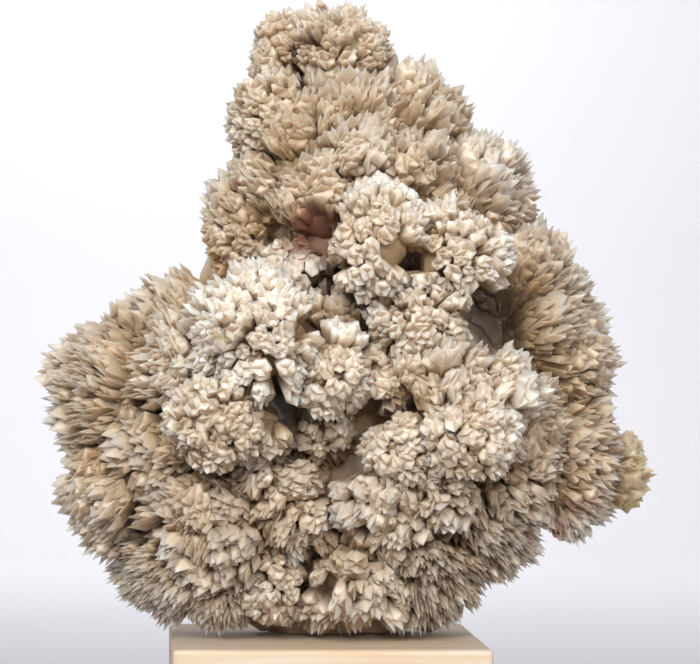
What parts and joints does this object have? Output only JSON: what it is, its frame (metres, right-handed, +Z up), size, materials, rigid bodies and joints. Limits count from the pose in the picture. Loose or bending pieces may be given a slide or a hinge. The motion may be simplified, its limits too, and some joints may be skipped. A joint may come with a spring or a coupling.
{
  "type": "calcite specimen",
  "caption": "Upright calcite specimen of radiating pointed crystal sprays grown as one mass, resting on a plain wooden stand.",
  "frame": {"origin": "on the stand's underside, below the middle of its top", "axes": "+Z up, -Y towards the side that the specimen shows, +X to the right when that side is faced"},
  "size_m": [0.1327, 0.0649, 0.1529],
  "materials": {
    "calcite": "milky translucent crystal with warm brown roots",
    "stand_wood": "sawn and sanded pale wood, unvarnished"
  },
  "bodies": {
    "root": {"calcite_crystals": "calcite", "wooden_stand": "stand_wood"}
  },
  "joints": []
}
